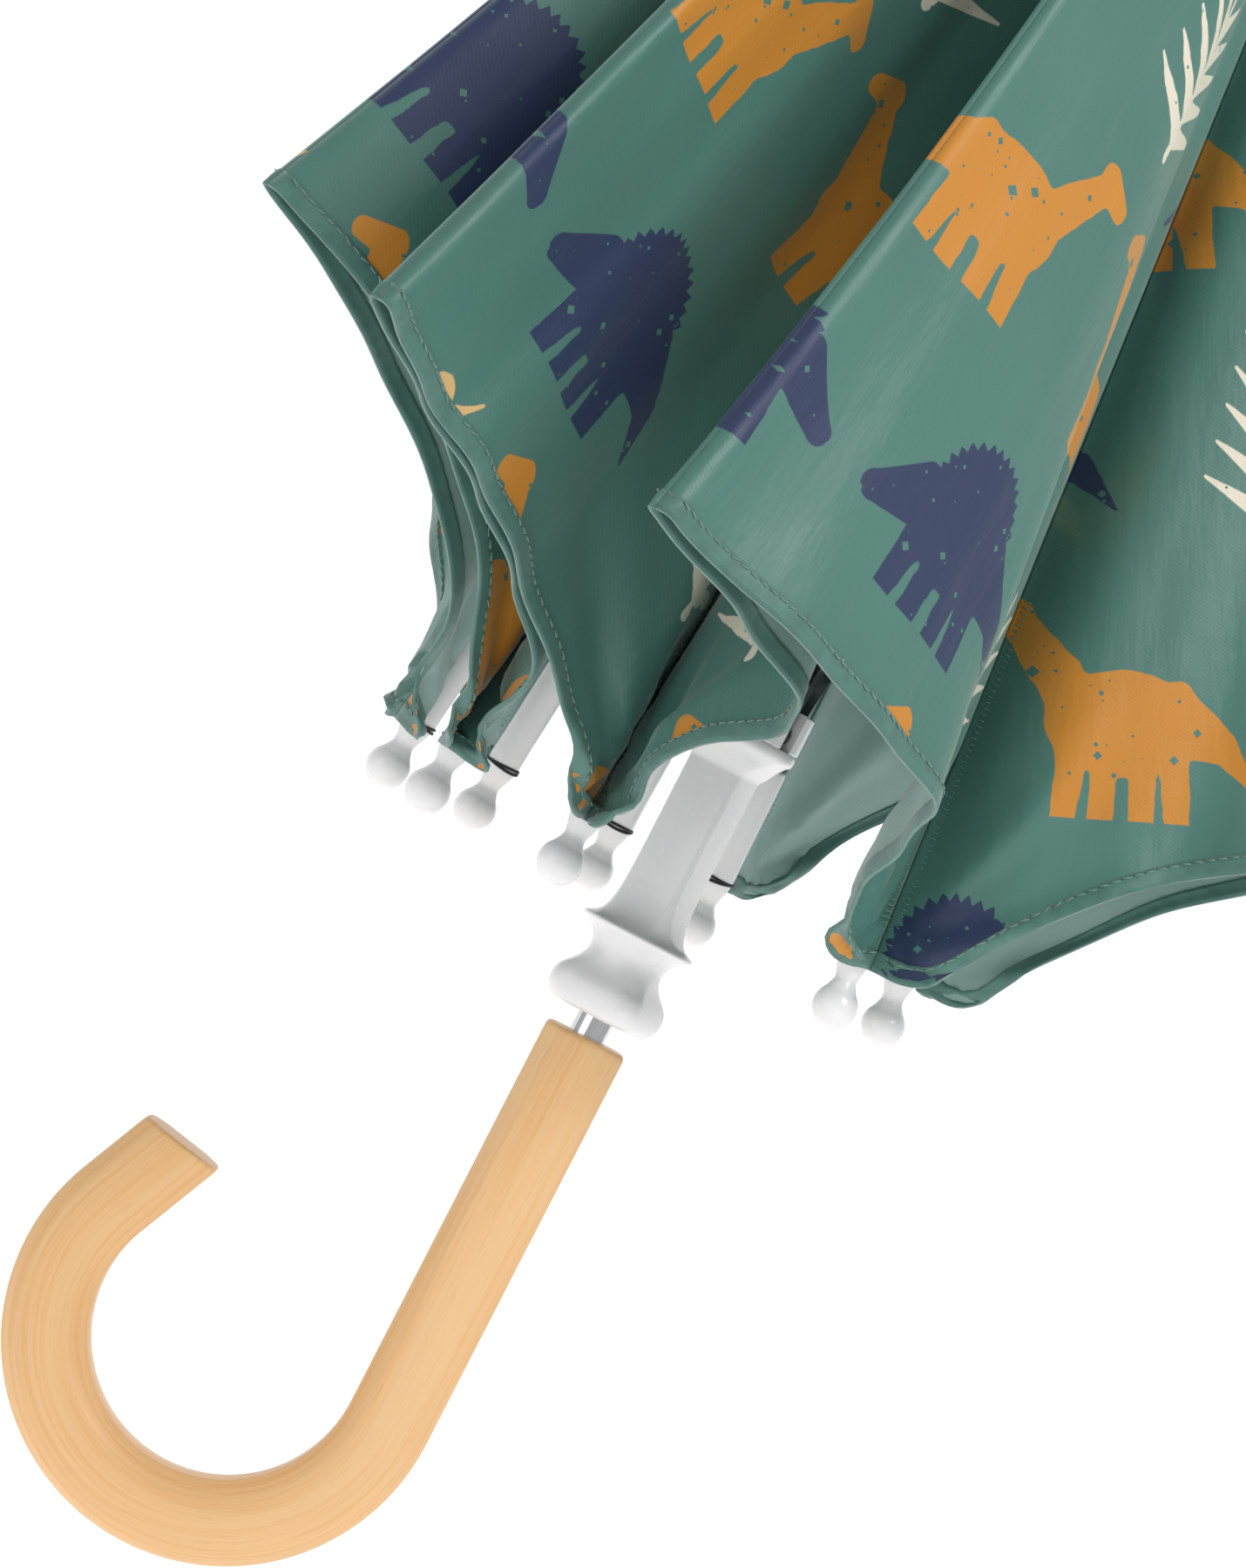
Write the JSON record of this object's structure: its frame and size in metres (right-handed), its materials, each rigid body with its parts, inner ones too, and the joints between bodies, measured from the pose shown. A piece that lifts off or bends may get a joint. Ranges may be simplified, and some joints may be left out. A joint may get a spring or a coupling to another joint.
{
  "type": "children's umbrella",
  "caption": "Children's stick umbrella with a bent wooden crook handle, ball-tipped ribs, a sliding runner and a patterned cloth canopy, closed but not wrapped.",
  "frame": {"origin": "on the shaft's axis at the middle of the handle's straight grip", "axes": "+Z along the shaft to the ferrule, the crook bends towards -X, -Y faces the viewer"},
  "size_m": [0.3052, 0.3446, 0.6611],
  "materials": {
    "cloth": "satin green polyester twill with a printed pattern",
    "wood": "clear varnish",
    "plastic": "gloss",
    "chrome": "polished",
    "dark_steel": "satin"
  },
  "bodies": {
    "shaft": {"shaft_tube": "chrome", "handle": "wood", "crown": "plastic", "crown_wire": "chrome", "rosette": "cloth", "top_cap": "plastic", "ferrule": "plastic"},
    "runner": {"runner": "plastic", "runner_wire": "chrome"},
    "bottom_catch": {"bottom_catch": "chrome"},
    "top_catch": {"top_catch": "chrome"},
    "rib_1": {"rib_1": "dark_steel", "tip_1": "plastic"},
    "rib_2": {"rib_2": "dark_steel", "tip_2": "plastic"},
    "rib_3": {"rib_3": "dark_steel", "tip_3": "plastic"},
    "rib_4": {"rib_4": "dark_steel", "tip_4": "plastic"},
    "rib_5": {"rib_5": "dark_steel", "tip_5": "plastic"},
    "rib_6": {"rib_6": "dark_steel", "tip_6": "plastic"},
    "rib_7": {"rib_7": "dark_steel", "tip_7": "plastic"},
    "rib_8": {"rib_8": "dark_steel", "tip_8": "plastic"},
    "stretcher_1": {"stretcher_1": "dark_steel"},
    "stretcher_2": {"stretcher_2": "dark_steel"},
    "stretcher_3": {"stretcher_3": "dark_steel"},
    "stretcher_4": {"stretcher_4": "dark_steel"},
    "stretcher_5": {"stretcher_5": "dark_steel"},
    "stretcher_6": {"stretcher_6": "dark_steel"},
    "stretcher_7": {"stretcher_7": "dark_steel"},
    "stretcher_8": {"stretcher_8": "dark_steel"},
    "gore_1a": {"gore_1a": "cloth"},
    "gore_1b": {"gore_1b": "cloth"},
    "gore_2a": {"gore_2a": "cloth"},
    "gore_2b": {"gore_2b": "cloth"},
    "gore_3a": {"gore_3a": "cloth"},
    "gore_3b": {"gore_3b": "cloth"},
    "gore_4a": {"gore_4a": "cloth"},
    "gore_4b": {"gore_4b": "cloth"},
    "gore_5a": {"gore_5a": "cloth"},
    "gore_5b": {"gore_5b": "cloth"},
    "gore_6a": {"gore_6a": "cloth", "closing_strap": "cloth", "snap_button": "chrome"},
    "gore_6b": {"gore_6b": "cloth"},
    "gore_7a": {"gore_7a": "cloth"},
    "gore_7b": {"gore_7b": "cloth"},
    "gore_8a": {"gore_8a": "cloth"},
    "gore_8b": {"gore_8b": "cloth"}
  },
  "joints": [
    {"name": "runner_slide", "type": "slide", "parent": "shaft", "child": "runner", "axis": [0, 0, 1], "range_m": [0, 0.131], "deforming": ["gore_1a", "gore_1b", "gore_2a", "gore_2b", "gore_3a", "gore_3b", "gore_4a", "gore_4b", "gore_5a", "gore_5b", "gore_6a", "gore_6b", "gore_7a", "gore_7b", "gore_8a", "gore_8b", "closing_strap", "snap_button"]},
    {"name": "bottom_catch_press", "type": "slide", "parent": "shaft", "child": "bottom_catch", "axis": [0.4462, -0.8949, 0], "range_m": [0, 0.0022], "stiffness_N_per_m": 300, "springref_m": -0.0012},
    {"name": "top_catch_press", "type": "slide", "parent": "shaft", "child": "top_catch", "axis": [0.4462, -0.8949, 0], "range_m": [0, 0.0022], "stiffness_N_per_m": 300, "springref_m": -0.0012},
    {"name": "rib_1_hinge", "type": "hinge", "parent": "shaft", "child": "rib_1", "pos_m": [0.00818, 0.00057, 0.514], "axis": [0.0533, -0.9982, -0.0274], "range_deg": [0, 52.44]},
    {"name": "rib_2_hinge", "type": "hinge", "parent": "shaft", "child": "rib_2", "pos_m": [0.00619, -0.00538, 0.514], "axis": [-0.6571, -0.7538, -0.0024], "range_deg": [0, 52.63]},
    {"name": "rib_3_hinge", "type": "hinge", "parent": "shaft", "child": "rib_3", "pos_m": [0.00057, -0.00818, 0.514], "axis": [-0.9919, -0.109, 0.0658], "range_deg": [0, 52.58]},
    {"name": "rib_4_hinge", "type": "hinge", "parent": "shaft", "child": "rib_4", "pos_m": [-0.00538, -0.00619, 0.514], "axis": [-0.7695, 0.6374, 0.0396], "range_deg": [0, 51.56]},
    {"name": "rib_5_hinge", "type": "hinge", "parent": "shaft", "child": "rib_5", "pos_m": [-0.00818, -0.00057, 0.514], "axis": [-0.0906, 0.9953, 0.0349], "range_deg": [0, 51.51]},
    {"name": "rib_6_hinge", "type": "hinge", "parent": "shaft", "child": "rib_6", "pos_m": [-0.00619, 0.00538, 0.514], "axis": [0.6492, 0.7605, 0.0149], "range_deg": [0, 51.46]},
    {"name": "rib_7_hinge", "type": "hinge", "parent": "shaft", "child": "rib_7", "pos_m": [-0.00057, 0.00818, 0.514], "axis": [0.9982, 0.0527, -0.0283], "range_deg": [0, 51.88]},
    {"name": "rib_8_hinge", "type": "hinge", "parent": "shaft", "child": "rib_8", "pos_m": [0.00538, 0.00619, 0.514], "axis": [0.7244, -0.6858, -0.0704], "range_deg": [0, 53.62]},
    {"name": "stretcher_1_hinge", "type": "hinge", "parent": "runner", "child": "stretcher_1", "pos_m": [0.00958, 0.00067, 0.124], "axis": [-0.0443, 0.9988, -0.0211], "range_deg": [0, 35.06]},
    {"name": "stretcher_2_hinge", "type": "hinge", "parent": "runner", "child": "stretcher_2", "pos_m": [0.00725, -0.0063, 0.124], "axis": [0.6577, 0.7533, -0.0018], "range_deg": [0, 35.15]},
    {"name": "stretcher_3_hinge", "type": "hinge", "parent": "runner", "child": "stretcher_3", "pos_m": [0.00067, -0.00958, 0.124], "axis": [0.9901, 0.1305, 0.0508], "range_deg": [0, 35.27]},
    {"name": "stretcher_4_hinge", "type": "hinge", "parent": "runner", "child": "stretcher_4", "pos_m": [-0.0063, -0.00725, 0.124], "axis": [0.7781, -0.6274, 0.0308], "range_deg": [0, 34.53]},
    {"name": "stretcher_5_hinge", "type": "hinge", "parent": "runner", "child": "stretcher_5", "pos_m": [-0.00958, -0.00067, 0.124], "axis": [0.1022, -0.9944, 0.0271], "range_deg": [0, 34.49]},
    {"name": "stretcher_6_hinge", "type": "hinge", "parent": "runner", "child": "stretcher_6", "pos_m": [-0.00725, 0.0063, 0.124], "axis": [-0.6455, -0.7637, 0.0116], "range_deg": [0, 34.42]},
    {"name": "stretcher_7_hinge", "type": "hinge", "parent": "runner", "child": "stretcher_7", "pos_m": [-0.00067, 0.00958, 0.124], "axis": [-0.9988, -0.0433, -0.0219], "range_deg": [0, 34.71]},
    {"name": "stretcher_8_hinge", "type": "hinge", "parent": "runner", "child": "stretcher_8", "pos_m": [0.0063, 0.00725, 0.124], "axis": [-0.7092, 0.7029, -0.0539], "range_deg": [0, 35.97]},
    {"name": "gore_1a_fold", "type": "hinge", "parent": "rib_1", "child": "gore_1a", "pos_m": [0.01293, 0.00096, 0.51455], "axis": [0.1128, 0.0332, -0.9931], "range_deg": [0, 76.61]},
    {"name": "gore_1b_fold", "type": "hinge", "parent": "rib_2", "child": "gore_1b", "pos_m": [0.00979, -0.00851, 0.51453], "axis": [-0.0855, 0.0714, 0.9938], "range_deg": [0, 60.37]},
    {"name": "gore_2a_fold", "type": "hinge", "parent": "rib_2", "child": "gore_2a", "pos_m": [0.00979, -0.00851, 0.51453], "axis": [0.0855, -0.0714, -0.9938], "range_deg": [0, 22.77]},
    {"name": "gore_2b_fold", "type": "hinge", "parent": "rib_3", "child": "gore_2b", "pos_m": [0.00076, -0.01294, 0.51455], "axis": [0.0529, 0.1173, 0.9917], "range_deg": [0, 113.29]},
    {"name": "gore_3a_fold", "type": "hinge", "parent": "rib_3", "child": "gore_3a", "pos_m": [0.00076, -0.01294, 0.51455], "axis": [-0.0529, -0.1173, -0.9917], "range_deg": [0, 60.35]},
    {"name": "gore_3b_fold", "type": "hinge", "parent": "rib_4", "child": "gore_3b", "pos_m": [-0.00856, -0.00972, 0.51463], "axis": [0.1128, 0.0746, 0.9908], "range_deg": [0, 83.92]},
    {"name": "gore_4a_fold", "type": "hinge", "parent": "rib_4", "child": "gore_4a", "pos_m": [-0.00856, -0.00972, 0.51463], "axis": [-0.1128, -0.0746, -0.9908], "range_deg": [0, 93.43]},
    {"name": "gore_4b_fold", "type": "hinge", "parent": "rib_5", "child": "gore_4b", "pos_m": [-0.01293, -0.00083, 0.51463], "axis": [0.133, -0.0227, 0.9909], "range_deg": [0, 49.14]},
    {"name": "gore_5a_fold", "type": "hinge", "parent": "rib_5", "child": "gore_5a", "pos_m": [-0.01293, -0.00083, 0.51463], "axis": [-0.133, 0.0227, -0.9909], "range_deg": [0, 30.68]},
    {"name": "gore_5b_fold", "type": "hinge", "parent": "rib_6", "child": "gore_5b", "pos_m": [-0.00976, 0.00852, 0.51463], "axis": [0.0905, -0.0966, 0.9912], "range_deg": [0, 114.42]},
    {"name": "gore_6a_fold", "type": "hinge", "parent": "rib_6", "child": "gore_6a", "pos_m": [-0.00976, 0.00852, 0.51463], "axis": [-0.0905, 0.0966, -0.9912], "range_deg": [0, 55.49]},
    {"name": "gore_6b_fold", "type": "hinge", "parent": "rib_7", "child": "gore_6b", "pos_m": [-0.00096, 0.01293, 0.5146], "axis": [0.0346, -0.1223, 0.9919], "range_deg": [0, 91.55]},
    {"name": "gore_7a_fold", "type": "hinge", "parent": "rib_7", "child": "gore_7a", "pos_m": [-0.00096, 0.01293, 0.5146], "axis": [-0.0346, 0.1223, -0.9919], "range_deg": [0, 81.56]},
    {"name": "gore_7b_fold", "type": "hinge", "parent": "rib_8", "child": "gore_7b", "pos_m": [0.00839, 0.0099, 0.51447], "axis": [-0.0128, -0.1155, 0.9932], "range_deg": [0, 67.09]},
    {"name": "gore_8a_fold", "type": "hinge", "parent": "rib_8", "child": "gore_8a", "pos_m": [0.00839, 0.0099, 0.51447], "axis": [0.0128, 0.1155, -0.9932], "range_deg": [0, 78.87]},
    {"name": "gore_8b_fold", "type": "hinge", "parent": "rib_1", "child": "gore_8b", "pos_m": [0.01293, 0.00096, 0.51455], "axis": [-0.1128, -0.0332, 0.9931], "range_deg": [0, 54.51]}
  ],
  "couplings": [
    {"joint": "rib_1_hinge", "follows": "runner_slide", "rad_per_m": 6.9838},
    {"joint": "rib_2_hinge", "follows": "runner_slide", "rad_per_m": 7.0088},
    {"joint": "rib_3_hinge", "follows": "runner_slide", "rad_per_m": 7.0028},
    {"joint": "rib_4_hinge", "follows": "runner_slide", "rad_per_m": 6.8667},
    {"joint": "rib_5_hinge", "follows": "runner_slide", "rad_per_m": 6.8596},
    {"joint": "rib_6_hinge", "follows": "runner_slide", "rad_per_m": 6.8529},
    {"joint": "rib_7_hinge", "follows": "runner_slide", "rad_per_m": 6.91},
    {"joint": "rib_8_hinge", "follows": "runner_slide", "rad_per_m": 7.141},
    {"joint": "stretcher_1_hinge", "follows": "runner_slide", "rad_per_m": 4.6683},
    {"joint": "stretcher_2_hinge", "follows": "runner_slide", "rad_per_m": 4.6809},
    {"joint": "stretcher_3_hinge", "follows": "runner_slide", "rad_per_m": 4.6966},
    {"joint": "stretcher_4_hinge", "follows": "runner_slide", "rad_per_m": 4.5984},
    {"joint": "stretcher_5_hinge", "follows": "runner_slide", "rad_per_m": 4.5924},
    {"joint": "stretcher_6_hinge", "follows": "runner_slide", "rad_per_m": 4.5839},
    {"joint": "stretcher_7_hinge", "follows": "runner_slide", "rad_per_m": 4.622},
    {"joint": "stretcher_8_hinge", "follows": "runner_slide", "rad_per_m": 4.789},
    {"joint": "gore_1a_fold", "follows": "runner_slide", "rad_per_m": 10.205},
    {"joint": "gore_1b_fold", "follows": "runner_slide", "rad_per_m": 8.0404},
    {"joint": "gore_2a_fold", "follows": "runner_slide", "rad_per_m": 3.0308},
    {"joint": "gore_2b_fold", "follows": "runner_slide", "rad_per_m": 15.091},
    {"joint": "gore_3a_fold", "follows": "runner_slide", "rad_per_m": 8.0384},
    {"joint": "gore_3b_fold", "follows": "runner_slide", "rad_per_m": 11.178},
    {"joint": "gore_4a_fold", "follows": "runner_slide", "rad_per_m": 12.445},
    {"joint": "gore_4b_fold", "follows": "runner_slide", "rad_per_m": 6.5449},
    {"joint": "gore_5a_fold", "follows": "runner_slide", "rad_per_m": 4.0851},
    {"joint": "gore_5b_fold", "follows": "runner_slide", "rad_per_m": 15.242},
    {"joint": "gore_6a_fold", "follows": "runner_slide", "rad_per_m": 7.3899},
    {"joint": "gore_6b_fold", "follows": "runner_slide", "rad_per_m": 12.194},
    {"joint": "gore_7a_fold", "follows": "runner_slide", "rad_per_m": 10.863},
    {"joint": "gore_7b_fold", "follows": "runner_slide", "rad_per_m": 8.9359},
    {"joint": "gore_8a_fold", "follows": "runner_slide", "rad_per_m": 10.505},
    {"joint": "gore_8b_fold", "follows": "runner_slide", "rad_per_m": 7.2591}
  ]
}
